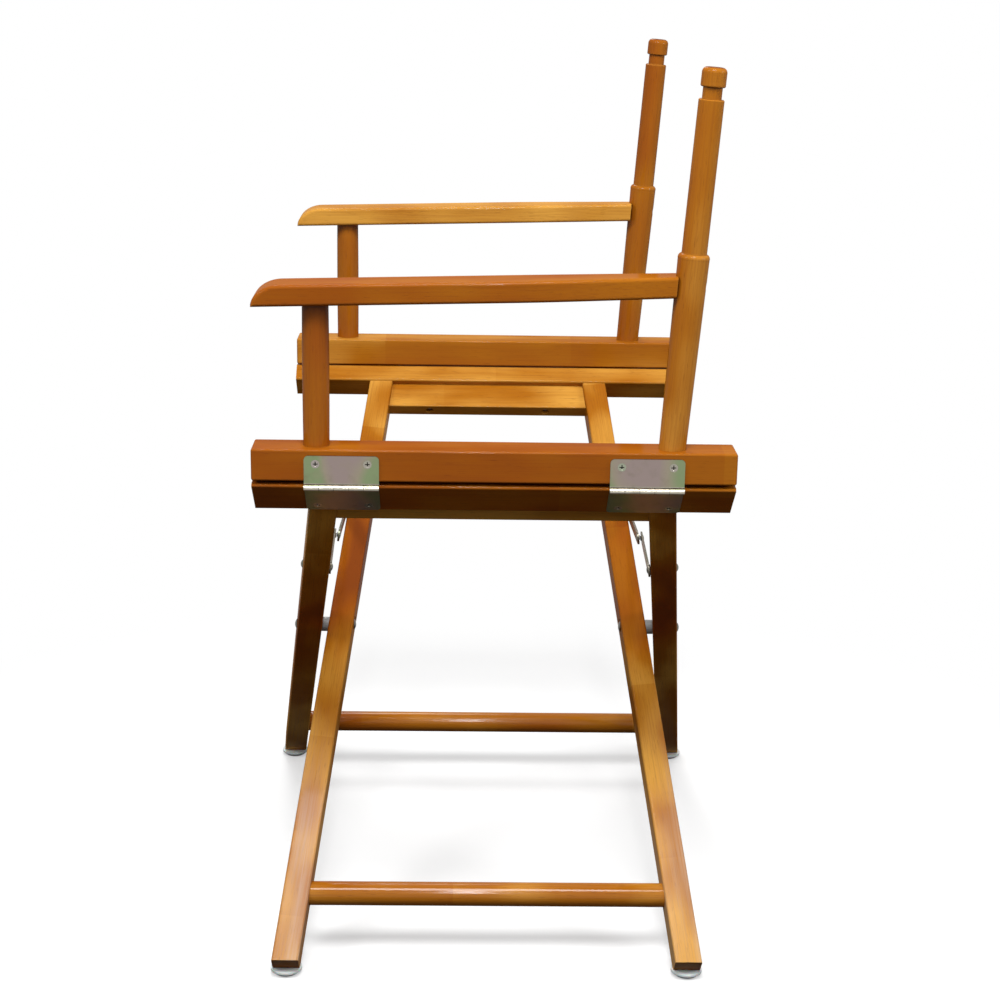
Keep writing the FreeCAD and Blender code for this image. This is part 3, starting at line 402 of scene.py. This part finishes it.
# ---- floor, light and camera --------------------------------------------------
def seen_directly(path, maximum):
    """1 for camera, glossy and transmission rays, 0 for the light that lands on the object."""
    seen = maximum(path.outputs["Is Camera Ray"], path.outputs["Is Glossy Ray"])
    return maximum(seen, path.outputs["Is Transmission Ray"])


def floor_material():
    t = Tree("floor")
    path = t.add("LightPath")
    seen = seen_directly(path, lambda a, b: t.math("MAXIMUM", a, b))
    place = t.add("TexCoord").outputs["Object"]
    distance = t.add("VectorMath", {"operation": "LENGTH"})
    t.feed(distance.inputs[0], place)
    fade = t.remap(distance.outputs["Value"], BACKGROUND_START, BACKGROUND_END)
    lift = t.math("MULTIPLY", path.outputs["Is Camera Ray"], SHADOW_SOFTENING)
    plain = t.math("MAXIMUM", t.math("MULTIPLY", fade, seen), lift)
    paper = t.noise(place, 240, detail=2)
    pale = t.mix(t.math("MULTIPLY", paper, 0.04), FLOOR_PALE, FLOOR_SHADE)
    shade = t.mix(path.outputs["Is Camera Ray"], (FLOOR_BOUNCE,) * 3, pale)
    ground = t.add("BsdfDiffuse", Color=shade)
    white = t.add("Emission", Strength=1.0)
    blend = t.add("MixShader", Fac=plain)
    t.tree.links.new(ground.outputs[0], blend.inputs[1])
    t.tree.links.new(white.outputs[0], blend.inputs[2])
    return t.surface(blend.outputs[0])


half = FLOOR_SIZE / 2
floor_mesh = bpy.data.meshes.new("floor")
floor_mesh.from_pydata([(-half, -half, 0), (half, -half, 0), (half, half, 0), (-half, half, 0)],
                       [], [(0, 1, 2, 3)])
floor = bpy.data.objects.new("floor", floor_mesh)
bpy.context.scene.collection.objects.link(floor)
floor.location.z = -FLOOR_GAP
floor.data.materials.append(floor_material())

world = bpy.data.worlds.new("studio")
bpy.context.scene.world = world
world.use_nodes = True
sky = world.node_tree
sky.nodes.clear()


def sky_maximum(a, b):
    made = sky.nodes.new("ShaderNodeMath")
    made.operation = "MAXIMUM"
    sky.links.new(a, made.inputs[0])
    sky.links.new(b, made.inputs[1])
    return made.outputs[0]


seen_sky = seen_directly(sky.nodes.new("ShaderNodeLightPath"), sky_maximum)
strength = sky.nodes.new("ShaderNodeMapRange")
strength.inputs["To Min"].default_value = SKY_LIGHT
strength.inputs["To Max"].default_value = 1.0
background = sky.nodes.new("ShaderNodeBackground")
background.inputs["Color"].default_value = (1, 1, 1, 1)
world_output = sky.nodes.new("ShaderNodeOutputWorld")
sky.links.new(seen_sky, strength.inputs["Value"])
sky.links.new(strength.outputs["Result"], background.inputs["Strength"])
sky.links.new(background.outputs["Background"], world_output.inputs["Surface"])


def soft_light(name, place, target, size, power, length=None):
    """A round lamp, or with a length a strip lamp along Y."""
    data = bpy.data.lights.new(name, "AREA")
    data.shape = "RECTANGLE" if length else "DISK"
    data.size = size
    if length:
        data.size_y = length
    data.energy = power
    lamp = bpy.data.objects.new(name, data)
    bpy.context.scene.collection.objects.link(lamp)
    lamp.location = place
    lamp.rotation_euler = (Vector(target) - Vector(place)).to_track_quat("-Z", "Y").to_euler()


soft_light("top", (1.30, 0.0, 2.75), (0, 0, 0.40), 1.0, 54)
soft_light("key", (1.3, -1.9, 2.3), (0, 0, 0.45), 0.9, 30)
soft_light("side", (0.9, 2.3, 1.7), (0, 0, 0.40), 0.9, 26)
soft_light("far", (-1.9, -0.4, 2.4), (0, 0, 0.45), 1.0, 24)
soft_light("strip", (2.15, 0.0, 1.95), (0, 0, 0.30), 0.07, 16, length=1.5)

# a camera at the left of the chair, slightly above the armrests
CAMERA_PLACE = Vector((1.967, -0.0328, 0.9488))
CAMERA_YAW = 0.02236
CAMERA_PITCH = 0.2741
CAMERA_ROLL = 0.01662
CAMERA_LENS = 71.2

forward = Vector((-math.cos(CAMERA_YAW) * math.cos(CAMERA_PITCH),
                  math.sin(CAMERA_YAW) * math.cos(CAMERA_PITCH), -math.sin(CAMERA_PITCH)))
level = Vector((math.sin(CAMERA_YAW), math.cos(CAMERA_YAW), 0))
upward = level.cross(forward)
right = math.cos(CAMERA_ROLL) * level + math.sin(CAMERA_ROLL) * upward
top = -math.sin(CAMERA_ROLL) * level + math.cos(CAMERA_ROLL) * upward
camera_data = bpy.data.cameras.new("camera")
camera_data.lens = CAMERA_LENS
camera_data.sensor_width = 36
camera = bpy.data.objects.new("camera", camera_data)
bpy.context.scene.collection.objects.link(camera)
camera.matrix_world = Matrix.Translation(CAMERA_PLACE) @ Matrix(
    (right, top, -forward)).transposed().to_4x4()
bpy.context.scene.camera = camera
bpy.context.scene.view_settings.view_transform = "Standard"
